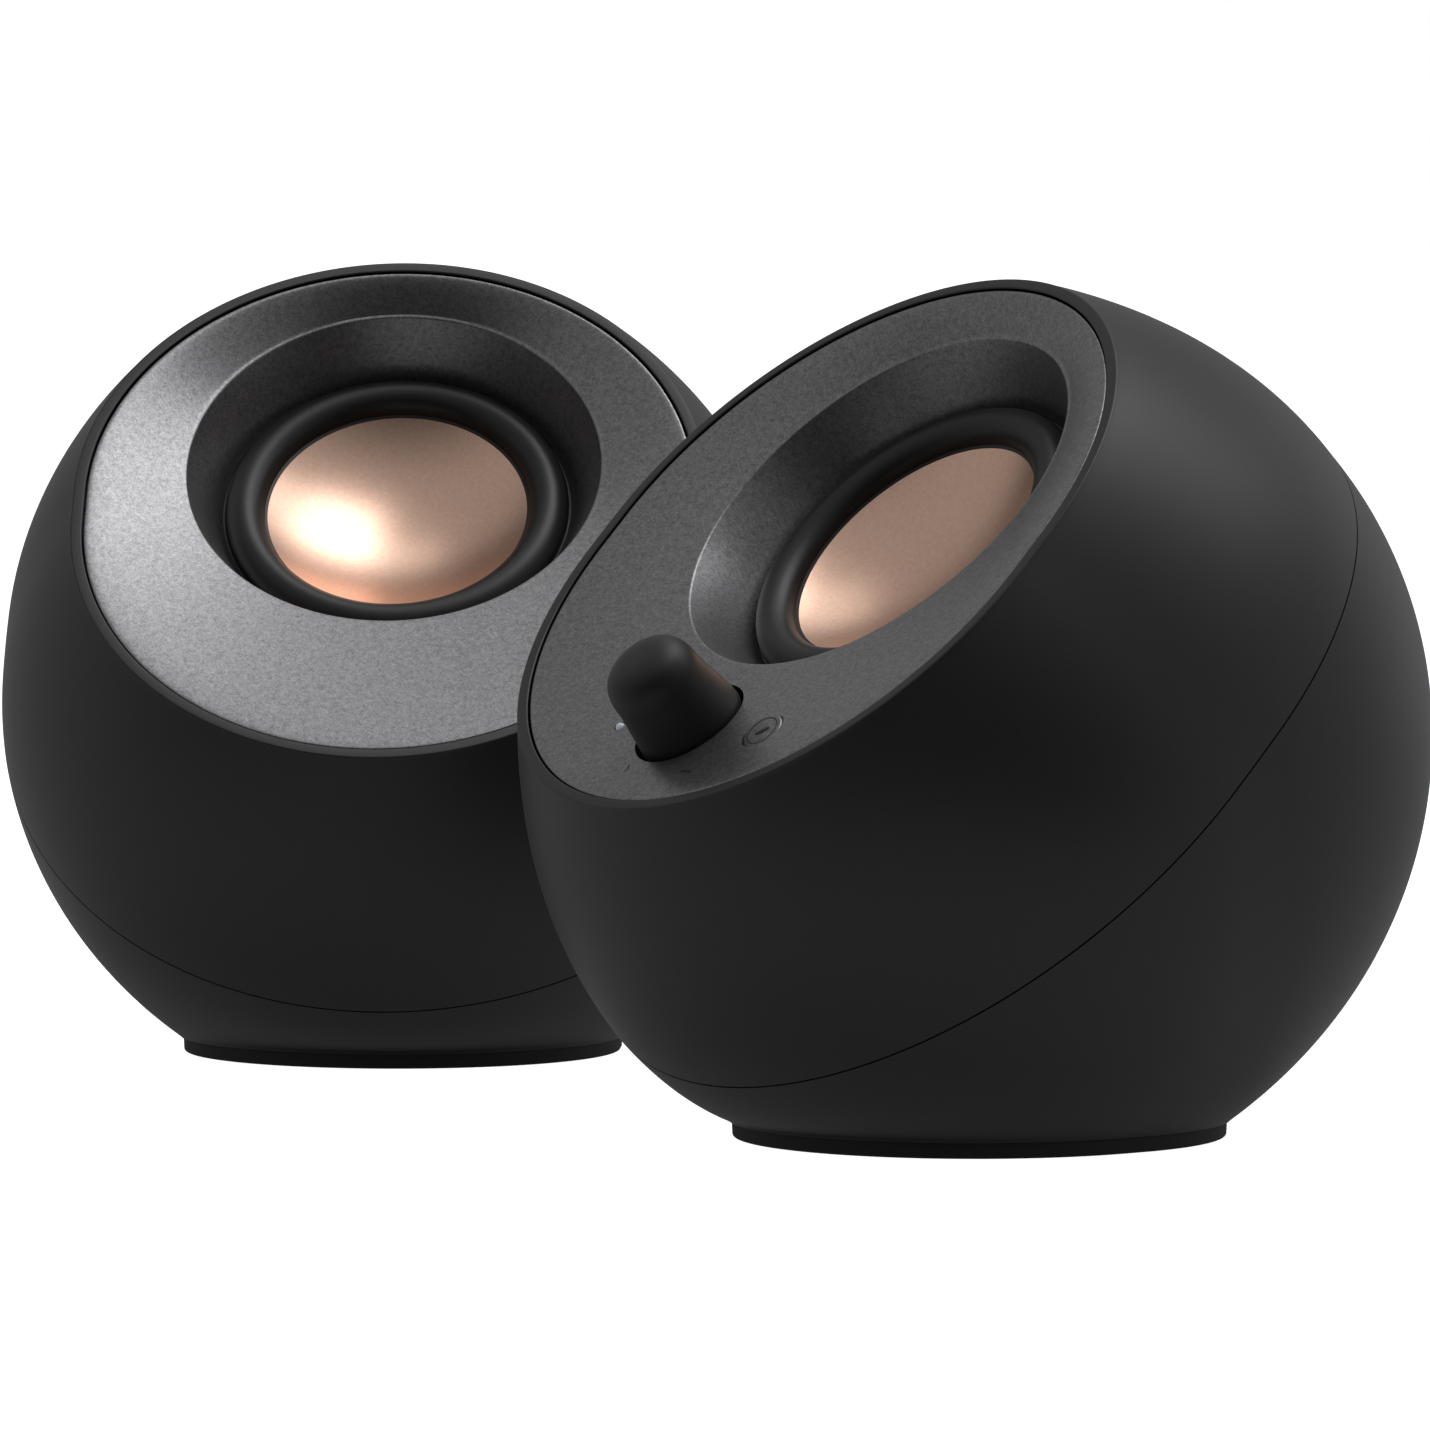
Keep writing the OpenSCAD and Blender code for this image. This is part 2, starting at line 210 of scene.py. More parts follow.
# %% [markdown]
# ## Materials
# None of these surfaces is one flat colour. Moulded plastic has a fine spark-eroded grain, the plate is
# sprayed with a sandy metallic coat, and the metal dish has a faint cloudy anodising over a blasted surface.
# One recipe serves them all: cloudy noise and finer speckle move the colour a little, and the speckle also
# gives the grain's height.

# %% Materials
def node_material(name):
    """A new material, its node tree, and its Principled shader."""
    material = bpy.data.materials.new(name)
    material.use_nodes = True
    return material, material.node_tree, material.node_tree.nodes["Principled BSDF"]

def grained(name, dark, light, roughness, grain, height, cloud=6, metallic=0.0, coat=0.0, sheen=0.0,
            gloss=0.5, contrast=0.5):
    """A surface whose colour runs between dark and light. grain is the grain's size and height its depth,
    and cloud is the size of the colour's patches, all in millimetres."""
    material, tree, shader = node_material(name)
    shader.inputs["Roughness"].default_value = roughness
    shader.inputs["Metallic"].default_value = metallic
    shader.inputs["Specular IOR Level"].default_value = gloss
    shader.inputs["Coat Weight"].default_value = coat
    shader.inputs["Sheen Weight"].default_value = sheen
    nodes, link = tree.nodes, tree.links.new
    spot = nodes.new("ShaderNodeTexCoord")
    patches, speckle = nodes.new("ShaderNodeTexNoise"), nodes.new("ShaderNodeTexNoise")
    patches.inputs["Scale"].default_value = 1000 / cloud
    patches.inputs["Detail"].default_value = 3
    speckle.inputs["Scale"].default_value = 1000 / grain
    speckle.inputs["Detail"].default_value = 2
    both, ramp = nodes.new("ShaderNodeMix"), nodes.new("ShaderNodeValToRGB")
    bump = nodes.new("ShaderNodeBump")
    both.inputs[0].default_value = 0.6
    link(spot.outputs["Object"], patches.inputs["Vector"])
    link(spot.outputs["Object"], speckle.inputs["Vector"])
    link(patches.outputs["Fac"], both.inputs[2])
    link(speckle.outputs["Fac"], both.inputs[3])
    ramp.color_ramp.elements[0].position = 0.5 - contrast / 2
    ramp.color_ramp.elements[1].position = 0.5 + contrast / 2
    ramp.color_ramp.elements[0].color = (*dark, 1)
    ramp.color_ramp.elements[1].color = (*light, 1)
    link(both.outputs[0], ramp.inputs["Fac"])
    link(ramp.outputs["Color"], shader.inputs["Base Color"])
    bump.inputs["Strength"].default_value = 1
    bump.inputs["Distance"].default_value = height * MM
    link(speckle.outputs["Fac"], bump.inputs["Height"])
    link(bump.outputs["Normal"], shader.inputs["Normal"])
    return material

def grey(value, warmth=0.0):
    """A grey of that linear brightness, a little blue or, with warmth, a little red."""
    return value * (1 + warmth), value, value * (1.03 - warmth)

MATERIALS = {
    "shell_plastic": grained("shell_plastic", grey(0.012), grey(0.016), 0.44, 0.35, 0.010, gloss=0.6,
                             contrast=0.4),
    "plate_finish": grained("plate_finish", grey(0.15), grey(0.36), 0.34, 0.3, 0.016, 0.8, metallic=0.85,
                            contrast=0.4),
    "foot_rubber": grained("foot_rubber", grey(0.008), grey(0.012), 0.7, 0.4, 0.02),
    "foam_black": grained("foam_black", grey(0.012), grey(0.02), 0.95, 0.6, 0.08),
    "basket_steel": grained("basket_steel", grey(0.016), grey(0.022), 0.4, 0.5, 0.01, metallic=0.3),
    "roll_rubber": grained("roll_rubber", grey(0.008), grey(0.012), 0.42, 0.5, 0.008),
    "copper_cone": grained("copper_cone", (0.86, 0.54, 0.40), (1.0, 0.70, 0.55), 0.33, 0.22, 0.010, 0.7,
                           metallic=1.0, contrast=0.4),
    "coil_copper": grained("coil_copper", (0.45, 0.2, 0.08), (0.62, 0.3, 0.14), 0.3, 0.2, 0.02, metallic=1.0),
    "spider_cloth": grained("spider_cloth", (0.32, 0.2, 0.08), (0.45, 0.3, 0.13), 0.9, 0.5, 0.05),
    "plated_steel": grained("plated_steel", grey(0.42), grey(0.5), 0.3, 0.5, 0.004, metallic=1.0),
    "ferrite": grained("ferrite", grey(0.03), grey(0.05), 0.6, 0.4, 0.02),
    "screw_steel": grained("screw_steel", grey(0.1), grey(0.14), 0.35, 0.3, 0.004, metallic=1.0),
    "black_plastic": grained("black_plastic", grey(0.011), grey(0.015), 0.5, 0.4, 0.01),
    "knob_rubber": grained("knob_rubber", grey(0.0075), grey(0.0095), 0.5, 0.25, 0.006, sheen=0.05),
    "switch_case": grained("switch_case", grey(0.03), grey(0.04), 0.5, 0.4, 0.01),
    "board_green": grained("board_green", (0.01, 0.07, 0.025), (0.015, 0.1, 0.035), 0.35, 0.5, 0.004,
                           coat=0.3),
    "button_plastic": grained("button_plastic", grey(0.02), grey(0.03), 0.45, 0.2, 0.006),
    "led_clear": grained("led_clear", (0.5, 0.54, 0.7), (0.7, 0.74, 0.9), 0.2, 0.3, 0.002),
    "jack_plastic": grained("jack_plastic", grey(0.008), grey(0.011), 0.4, 0.4, 0.006),
    "gland_rubber": grained("gland_rubber", grey(0.008), grey(0.012), 0.65, 0.5, 0.015),
}
lamp_shader = MATERIALS["led_clear"].node_tree.nodes["Principled BSDF"]
lamp_shader.inputs["Emission Color"].default_value = (0.9, 0.95, 1, 1)
lamp_shader.inputs["Emission Strength"].default_value = 0.12

slots = {part["node"]: part["material_slot"] for part in frame["record"]["subparts"]}
for node_name, node in frame["nodes"].items():
    node.data.materials.clear()
    node.data.materials.append(MATERIALS[slots[node_name]])

def settle(piece, body, *nodes, look=None):
    """Gives a piece its finish and its body, and lets it stand for its CAD nodes."""
    slot = slots[nodes[0]]
    piece.data.materials.clear()
    piece.data.materials.append(MATERIALS[look or slot])
    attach(piece, body)
    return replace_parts(piece, *nodes)

print(len(MATERIALS), "materials")

# %% [markdown]
# ## The body's shape
# The rear of each body is a ball drawn out along a line that leans up towards the back, so it is a short
# capsule. Along a unit direction d from its centre, whose part along the line is a, its surface lies
# r / sqrt(1 - a^2) away while that stays beside the line's straight piece, and past the end of it
# h |a| + sqrt(r^2 - h^2 (1 - a^2)) away, where h is half the straight piece. The front rim is a circle drawn
# out up the slope, and its outline along the angle t is r / |cos t| beside the straight piece and
# s |sin t| + sqrt(r^2 - s^2 cos^2 t) past it.

# %% Shape of the body
BALL_R, BALL_HALF, BALL_LEAN = 59.4, 4.95, math.radians(15.5)
BALL_AT = np.array([0, -1.45, 54.3])
BALL_LINE = np.array([0, math.cos(BALL_LEAN), math.sin(BALL_LEAN)])
RIM_R, RIM_LONG, FLARE_BOW, SEAM_Z, WALL = 46.75, 3.0, 3.4, -39.4, 2.4
PLATE_R, FOOT_H = 44.75, 2.2

face_middle = np.array(face_centre) / MM
UP_SLOPE = np.array([0, math.sin(face_tilt), math.cos(face_tilt)])
OUT = np.array([0, -math.cos(face_tilt), math.sin(face_tilt)])

def slot_reach(angle, radius, long):
    """How far a circle drawn out along y by long reaches at that angle from x."""
    across, along = np.abs(np.cos(angle)), np.abs(np.sin(angle))
    side = radius / np.maximum(across, 1e-9)
    end = long * along + np.sqrt(np.maximum(radius ** 2 - (long * across) ** 2, 0))
    return np.where(side * along <= long, side, end)

def ball_reach(direction, inset=0.0):
    """How far the capsule, made smaller by inset, reaches from its centre along unit directions."""
    radius = BALL_R - inset
    part = np.abs(direction @ BALL_LINE)
    off = np.sqrt(np.maximum(1 - part ** 2, 1e-12))
    end = BALL_HALF * part + np.sqrt(radius ** 2 - (BALL_HALF * off) ** 2)
    return np.where(radius * part / off <= BALL_HALF, radius / off, end)

def circle_of(angle, reach, centre=(0, 0)):
    """Points (x, y) at that reach from a centre."""
    return np.stack([centre[0] + reach * np.cos(angle), centre[1] + reach * np.sin(angle)], -1)

AROUND = np.linspace(0, 2 * math.pi, 224, endpoint=False)
ball_in_face = np.array([0, (BALL_AT - face_middle) @ UP_SLOPE, (BALL_AT - face_middle) @ OUT])
seam_ways = np.cos(AROUND)[:, None] * np.array([1, 0, 0]) + np.sin(AROUND)[:, None] * UP_SLOPE
print("the capsule's centre in the face's frame", ball_in_face.round(2))

# %% [markdown]
# ## Front shell
# The front shell flares from the rim back to the seam. Its outline at a share t of the way is the rim's
# outline blended to the capsule's section, with the bow 4 t (1 - t) added outwards. The profile is a closed
# loop: up the lip beside the plate, over the rim's rounded edge, down the flare, and back up the inner wall.

# %% Front shells
def flare_rows(profile):
    """Rows of the front shell from (z, inset) pairs: how far out of the face, and how far inside the
    outline."""
    z, inset = profile[:, :1], profile[:, 1:]
    share = np.clip(-z / -SEAM_Z, 0, 1)
    reach = slot_reach(AROUND, RIM_R, RIM_LONG) * (1 - share) + ball_reach(seam_ways) * share
    reach = reach + FLARE_BOW * 4 * share * (1 - share) - inset
    spots = circle_of(AROUND, reach)
    spots[..., 1] += ball_in_face[1] * share
    return np.concatenate([spots, (z + 0 * reach)[..., None]], -1)

depth = np.linspace(-0.8, SEAM_Z + 0.35, 34)
front_profile = np.vstack([
    rounded([(-4.0, 1.8, 0), (0.3, 1.8, 0.2), (0.3, -0.02, 0.35), (-1.0, 0.02, 0)], 7)[:-1],
    np.stack([depth, 0 * depth], -1),
    rounded([(SEAM_Z + 0.3, 0, 0), (SEAM_Z, 0, 0.3), (SEAM_Z, WALL, 0.2), (SEAM_Z + 1, WALL, 0)], 4),
    np.stack([np.linspace(SEAM_Z + 2, -6, 16), np.full(16, WALL)], -1),
    [(-4.2, 4.2)],
])
for side in STAND:
    shell = skin(f"{side}_front_shell_skin", flare_rows(front_profile), FACE[side], loop=True)
    settle(shell, "cabinets", f"{side}_front_shell")
print("front shells", len(shell.data.polygons), "faces each")

# %% [markdown]
# ## Rear shell
# Its skin runs from the seam round the capsule down to the edge of the foot. Each column turns evenly from
# the seam's direction to the foot's: for two unit directions at the angle w, the direction at a share t
# between them is (sin((1 - t) w) p + sin(t w) q) / sin w. Near the foot the skin leaves the capsule a little,
# to end on the foot's outline. The inner wall ends where the smaller capsule comes down to the floor's
# height, found by rounds of one step: move the direction's slope half of the way to the slope at which its
# reach would give that height. The seat of the radiator and the panel have walls of their own, kept inside
# the capsule, and the openings are cut after those are joined on. Both shells are cut in the right speaker's
# place, so that they come out alike, and the left one is then turned into its own.

# %% Rear shells
def edge_of_flat(height, inset):
    """Unit directions from the capsule's centre to the edge of a level cut at that height."""
    level = np.stack([np.cos(AROUND), np.sin(AROUND), 0 * AROUND], -1)
    fall = np.full(AROUND.shape, (height - BALL_AT[2]) / (BALL_R - inset))
    for _ in range(30):
        way = level * np.sqrt(1 - fall ** 2)[:, None] + np.array([0, 0, 1]) * fall[:, None]
        fall = 0.5 * fall + 0.5 * (height - BALL_AT[2]) / ball_reach(way, inset)
    return way

def capsule_rows(start, end, inset, count, last=None):
    """Rows of points on the capsule from one ring of directions to another. With last, the reach of the last
    row, the skin swells or shrinks towards it by the cube of the share."""
    turn = np.arccos(np.clip((start * end).sum(-1), -1, 1))[:, None]
    share = np.linspace(0, 1, count)[:, None, None]
    ways = (np.sin((1 - share) * turn) * start + np.sin(share * turn) * end) / np.sin(turn)
    reach = ball_reach(ways, inset)
    if last is not None:
        reach = reach * (1 + (last / reach[-1] - 1) * share[..., 0] ** 3)
    return BALL_AT + ways * reach[..., None]

def level_rows(ring, height, shares):
    """Rows that shrink a ring towards its middle at one height."""
    middle = ring.mean(0)
    rows = middle + (ring - middle) * np.asarray(shares)[:, None, None]
    rows[..., 2] = height
    return rows

FOOT_R, FOOT_LONG = 33.2, 1.7
foot_ring = circle_of(AROUND, slot_reach(AROUND, FOOT_R + 0.35, FOOT_LONG))
foot_ring = np.column_stack([foot_ring, np.full(len(AROUND), FOOT_H + 0.3)]) - BALL_AT
foot_reach = np.linalg.norm(foot_ring, axis=1)
seam_start = seam_ways - OUT * (0.12 / BALL_R)
seam_start = seam_start / np.linalg.norm(seam_start, axis=1)[:, None]
outer = capsule_rows(seam_start, foot_ring / foot_reach[:, None], 0, 96, foot_reach)
floor_rows = level_rows(outer[-1], FOOT_H, [0.99, 0.9, 0.7, 0.5, 0.3, 0.1, 0])
inner = capsule_rows(seam_ways, edge_of_flat(FOOT_H + WALL, WALL), WALL, 64)
inner_floor = level_rows(inner[-1], FOOT_H + WALL, np.linspace(0.9, 0, 6))
rear_rows = np.concatenate([inner_floor[::-1], inner[::-1], outer, floor_rows])

RADIATOR_H, RADIATOR_SEAT, RADIATOR_R = 55.5, 51.5, 29.0
PANEL_Y, PANEL_LOW, PANEL_HIGH, PANEL_WIDE = 46.5, 17.4, 25.8, 38.0
JACK_H, JACK_X = 22.0, {"right": (-11.0, 0.0, 11.0), "left": (0.0,)}
JACK_HOLE_R = 3

def backwards(x, y, z, stand=STAND["right"]):
    """A matrix whose z axis points straight out of a speaker's back from that spot, in millimetres."""
    return stand @ SIZE @ Matrix.Translation((x, y, z)) @ Matrix.Rotation(-math.pi / 2, 4, "X")

def rounded_box(name, width, height, z_low, z_high, corner_r, place, around=128):
    """A box with rounded corners: each point of a circle pushed out to the corner of its quarter."""
    angle = np.linspace(0, 2 * math.pi, around, endpoint=False) + math.pi / around
    x = corner_r * np.cos(angle) + np.sign(np.cos(angle)) * (width / 2 - corner_r)
    y = corner_r * np.sin(angle) + np.sign(np.sin(angle)) * (height / 2 - corner_r)
    ring = np.stack([x, y, 0 * x], -1)
    up = np.array([0, 0, 1])
    rows = [ring * 0 + up * z_low, ring + up * z_low, ring + up * z_high, ring * 0 + up * z_high]
    return skin(name, rows, place)

def capsule_solid(inset):
    """The whole capsule, made smaller by inset: a half circle turned about the capsule's line, with its two
    quarters drawn apart."""
    turn = np.linspace(-math.pi / 2, math.pi / 2, 65)
    profile = (BALL_R - inset) * np.stack([np.cos(turn), np.sin(turn)], -1)
    profile[:, 1] += BALL_HALF * np.sign(turn)
    lean = Vector((0, 0, 1)).rotation_difference(Vector(BALL_LINE)).to_matrix().to_4x4()
    return lathe("core", profile, STAND["right"] @ SIZE @ Matrix.Translation(BALL_AT) @ lean, 128)

def rod(name, radius, z_low, z_high, place, around):
    """A plain solid rod."""
    return lathe(name, [(0, z_low), (radius, z_low), (radius, z_high), (0, z_high)], place, around)

radiator_seat = backwards(0, RADIATOR_SEAT, RADIATOR_H)
panel_floor = backwards(0, PANEL_Y, (PANEL_LOW + PANEL_HIGH) / 2)
panel_tall = PANEL_HIGH - PANEL_LOW
for side in STAND:
    shell = skin(f"{side}_rear_shell_skin", rear_rows, STAND["right"] @ SIZE)
    walls = [
        rod("seat_wall", RADIATOR_R + 2.2, -3, 20, radiator_seat, 160),
        rounded_box("panel_walls", PANEL_WIDE + 2 * WALL, panel_tall + 2 * WALL, -WALL, 20, 2.5, panel_floor),
    ]
    for wall in walls:
        carve(wall, capsule_solid(0.5), how="INTERSECT")
    carve(shell, *walls, how="UNION")
    pocket_profile = [(0, 0), (RADIATOR_R + 0.1, 0), (RADIATOR_R + 0.1, 11), (RADIATOR_R + 3, 20), (0, 20)]
    cutters = [
        lathe("pocket", pocket_profile, radiator_seat, 160),
        rod("window", RADIATOR_R - 3, -9, 9, radiator_seat, 160),
        rounded_box("panel", PANEL_WIDE, panel_tall, 0, 22, 2, panel_floor),
    ]
    for x in JACK_X[side]:
        cutters.append(rod("hole", JACK_HOLE_R, -8, 8, backwards(x, PANEL_Y, JACK_H), 48))
    carve(shell, *cutters)
    shell.data.transform(STAND[side] @ STAND["right"].inverted())
    settle(shell, "cabinets", f"{side}_rear_shell")
print("rear shells", len(shell.data.polygons), "faces each")

# %% [markdown]
# ## Face plates
# A row of the plate lies a share s of the way from the plate's edge to the driver's opening, so each point
# is (1 - s) edge + s opening, and the dish deepens as depth s^1.2. The same rows go on over the opening's
# rounded edge, down the funnel to its throat, and back under. The right plate is then cut for the knob, the
# button and the lamp.

# %% Face plates
DISH, BEND, OPENING_R, THROAT_R, THROAT_Z = 3.7, 1.2, 30.7, 26.5, -13.2
BUTTON_AT, LAMP_AT, BUTTON_R, LAMP_R, KNOB_R = (17.0, -33.0), (-13.3, -34.0), 3.1, 0.7, 7.6

def plate_rows(profile):
    """Rows from (share, off, z): off is how far inside the edge, or outside the opening, in millimetres."""
    share, off, z = [profile[:, i, None] for i in range(3)]
    edge = circle_of(AROUND, slot_reach(AROUND, PLATE_R - off, RIM_LONG))
    opening = circle_of(AROUND, OPENING_R + off + 0 * AROUND, (0, DRIVER_UP))
    spots = edge * (1 - share[..., None]) + opening * share[..., None]
    return np.concatenate([spots, (z + 0 * AROUND)[..., None]], -1)

def at_share(share, line):
    """Profile rows of a line of (off, z) points at one share."""
    line = np.asarray(line, float)
    return np.column_stack([np.full(len(line), share), line])

def plate_z(x, y):
    """Height of the dish over a spot of the face: the share there is found along the ray from the driver."""
    ray = np.array([x, y - DRIVER_UP])
    length = np.linalg.norm(ray)
    steps = np.linspace(length, length + 40, 400)
    spots = np.array([0, DRIVER_UP]) + steps[:, None] * ray / length
    inside = np.hypot(spots[:, 0], np.maximum(np.abs(spots[:, 1]) - RIM_LONG, 0)) < PLATE_R
    edge = steps[inside].max()
    return -DISH * ((edge - length) / (edge - OPENING_R)) ** BEND

share = np.linspace(0, 1, 30)
plate_profile = np.vstack([
    at_share(0, rounded([(0, -1.9, 0), (0, 0, 0.28), (0.5, 0, 0)], 5)[:-1]),
    np.column_stack([share, np.full(30, 0.5), -DISH * share ** BEND]),
    at_share(1, rounded([(0.5, -DISH, 0), (0, -DISH - 0.1, 0.45), (THROAT_R - OPENING_R, THROAT_Z, 0.3),
                         (THROAT_R - OPENING_R, THROAT_Z - 0.5, 0)], 6)[1:]),
    at_share(1, [(-3.0, THROAT_Z - 0.5), (-3.0, THROAT_Z + 0.6), (1.8, -5.6)]),
    np.column_stack([share[::-3], np.full(10, 1.8), -1.9 - DISH * share[::-3] ** BEND]),
])
for side in STAND:
    plate = skin(f"{side}_face_plate_skin", plate_rows(plate_profile), FACE[side], loop=True, sharp=30)
    if side == "right":
        button_z, lamp_z, knob_z = plate_z(*BUTTON_AT), plate_z(*LAMP_AT), plate_z(*KNOB_AT)
        carve(plate,
              rod("hole", KNOB_R + 0.65, -20, 2, KNOB, 128),
              rod("hole", BUTTON_R + 0.14, -20, 2, FACE[side] @ Matrix.Translation((*BUTTON_AT, 0)), 96),
              rod("hole", LAMP_R + 0.15, -20, 2, FACE[side] @ Matrix.Translation((*LAMP_AT, 0)), 48))
    settle(plate, "cabinets", f"{side}_face_plate")
print("plate height at knob, button and lamp", round(knob_z, 2), round(button_z, 2), round(lamp_z, 2))

# %% [markdown]
# ## Drivers
# The metal dish is a cap of a sphere: with rim radius r and depth d, the sphere's radius is
# (r^2 + d^2) / (2 d), and the cap's height at the radius x is R - sqrt(R^2 - x^2). The rubber roll is half
# of a circle in section.

# %% Drivers
CONE_R, CONE_DEPTH, ROLL_OUT, ROLL_Z = 19.6, 6.0, 25.6, -13.5
CAP_R = (CONE_R ** 2 + CONE_DEPTH ** 2) / (2 * CONE_DEPTH)

def arc(centre, radius, start, end, steps=24):
    """Points of an arc about a centre, from one angle to another, in degrees."""
    angle = np.radians(np.linspace(start, end, steps))
    return np.stack([centre[0] + radius * np.cos(angle), centre[1] + radius * np.sin(angle)], -1)

def flexing(piece):
    """Bakes the piece's placement into its mesh and reads its points."""
    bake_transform(piece)
    spots = np.empty(len(piece.data.vertices) * 3)
    piece.data.vertices.foreach_get("co", spots)
    spots = np.column_stack([spots.reshape(-1, 3), np.ones(len(spots) // 3)])

def half_roll(name, r_in, r_out, z, lip_in, lip_out, place):
    """A rubber half-roll between two radii, with a flat lip on either side, as a closed loop."""
    middle, radius, thick = (r_in + r_out) / 2, (r_out - r_in) / 2, 0.45
    profile = np.vstack([[(r_out + lip_out, z - thick), (r_out + lip_out, z + 0.1), (r_out + 0.25, z + 0.1)],
                         arc((middle, z + 0.1), radius, 0, 180, 30),
                         [(r_in - lip_in, z - 0.05), (r_in - lip_in, z - thick)],
                         arc((middle, z - 0.1), radius - thick, 180, 0, 18)])
    return lathe(name, profile, place, 192, loop=True, sharp=50)

CONE_EDGE, CONE_THICK = 0.25, 0.6
x = np.linspace(0, CONE_R - CONE_EDGE, 40)
cap = np.stack([x, ROLL_Z - CONE_DEPTH + CAP_R - np.sqrt(CAP_R ** 2 - x ** 2)], -1)
dish_profile = np.vstack([cap, arc((CONE_R - CONE_EDGE, cap[-1, 1] - 0.26), 0.26, 80, -90, 10),
                          (cap - [0, CONE_THICK])[::-3], [(0, cap[0, 1] - CONE_THICK)]])
for side in STAND:
    dish = lathe(f"{side}_cone_skin", dish_profile, DRIVER[side], 192)
    settle(dish, f"{side}_cone", f"{side}_driver_cone")
    roll = half_roll(f"{side}_roll_skin", CONE_R + 0.1, ROLL_OUT, ROLL_Z, 0.4, 0.7, DRIVER[side])
    flexing(roll)
    roll.data.materials.append(MATERIALS["roll_rubber"])
    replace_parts(roll, f"{side}_driver_surround")
print("cap radius", round(CAP_R, 1), "mm")

# %% [markdown]
# ## Controls
# The knob is a turned dome. Its height and radius follow the sine and the cosine of one angle, both to the
# power 0.68, which makes the shoulder fuller than a plain ellipse's. A small dimple on the shoulder shows
# where it points: each point within reach of the spot sinks inwards by (1 - (d / reach)^2)^2.

# %% Knob, button and lamp
KNOB_H, SHOULDER_R, SHOULDER_Z, KNOB_LOW = 11.2, 6.65, 5.2, -3.2
dome = np.clip(arc((0, 0), 1, 0, 90, 48), 0, 1) ** 0.68 * [SHOULDER_R, KNOB_H - SHOULDER_Z] + [0, SHOULDER_Z]
skirt = rounded([(0, KNOB_LOW, 0), (KNOB_R, KNOB_LOW, 0.3), (KNOB_R, -1.5, 0.6),
                 (SHOULDER_R, SHOULDER_Z, 0)], 6)
knob_profile = np.vstack([skirt[:-1], dome])
knob_rows = turned(knob_profile, 200)
near_dot = np.linalg.norm(knob_rows - np.array([-6.35, 0.5, 6.9]), axis=-1) / 0.85
knob_rows[..., :2] *= (1 - 0.05 * np.clip(1 - near_dot ** 2, 0, 1) ** 2)[..., None]
knob = skin("volume_knob_skin", knob_rows, KNOB, sharp=50)
settle(knob, "knob", "volume_knob")

button_place = FACE["right"] @ Matrix.Translation((*BUTTON_AT, button_z))
button_profile = rounded([(0, -3.6, 0), (BUTTON_R, -3.6, 0.1), (BUTTON_R, 0.12, 0.25), (0, 0.0, 0)], 5)
button = lathe("source_button_skin", button_profile, button_place, 96)
settle(button, "button", "source_button", look="plate_finish")
ring_mark = tube("button_ring", 2.25, 2.45, 0.0, 0.12, button_place, 0.03, 64)
settle(ring_mark, "button", "source_button")
bar = rounded_box("button_bar", 0.55, 2.2, 0.0, 0.11, 0.2, button_place @ Matrix.Rotation(-0.9, 4, "Z"), 32)
settle(bar, "button", "source_button")

lamp_place = FACE["right"] @ Matrix.Translation((*LAMP_AT, lamp_z))
lamp_profile = [(0, -1.1), (LAMP_R, -1.1), *arc((0, -0.35), LAMP_R, 0, 90, 10)]
lamp = lathe("lamp_skin", lamp_profile, lamp_place, 48)
settle(lamp, "cabinets", "led_pipe")

def on_dish(x, y):
    """A matrix that stands on the right plate's dish, tipped to its slope there."""
    rise = plate_z(x, y + 0.5) - plate_z(x, y - 0.5)
    tip = Matrix.Rotation(math.atan(rise), 4, "X")
    return FACE["right"] @ Matrix.Translation((x, y, plate_z(x, y))) @ tip

low_mark = tube("low_mark", 0.72, 1.05, -0.3, 0.02, on_dish(-4.5, -42.0), 0.02, 48)
high_mark = rounded_box("high_mark", 4.4, 0.5, -0.3, 0.03, 0.24, on_dish(10.0, -41.6), 32)
for piece, look in ((low_mark, "black_plastic"), (high_mark, "button_plastic")):
    piece.data.materials.append(MATERIALS[look])
    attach(piece, "cabinets")
print("controls", [p.name for p in (knob, button, lamp)])

# %% [markdown]
# ## Feet and backs
# The foot is a rubber disc drawn out like the rim, with a soft lower edge and a shallow recess underneath. On
# the back are a passive radiator in its frame, and a panel with the sockets and the leads' glands.

# %% Feet
def foot_rows(profile):
    """Rows of the foot from (radius, z) pairs."""
    radius, z = profile[:, :1], profile[:, 1:]
    drawn = np.clip(radius / FOOT_R, 0, 1) * FOOT_LONG
    spots = circle_of(AROUND, slot_reach(AROUND, np.maximum(radius, 1e-6), drawn))
    return np.concatenate([spots, (z + 0 * AROUND)[..., None]], -1)

foot_profile = rounded([(0, 0.25, 0), (26, 0.25, 0.3), (26.8, 0, 0.4), (FOOT_R - 0.5, 0, 0.4),
                        (FOOT_R - 0.4, FOOT_H - 0.02, 0.1), (0, FOOT_H - 0.02, 0)], 6)
for side in STAND:
    foot = skin(f"{side}_foot_skin", foot_rows(foot_profile), STAND[side] @ SIZE)
    settle(foot, "cabinets", f"{side}_foot_pad")
print("foot", round(2 * FOOT_R), "mm wide")

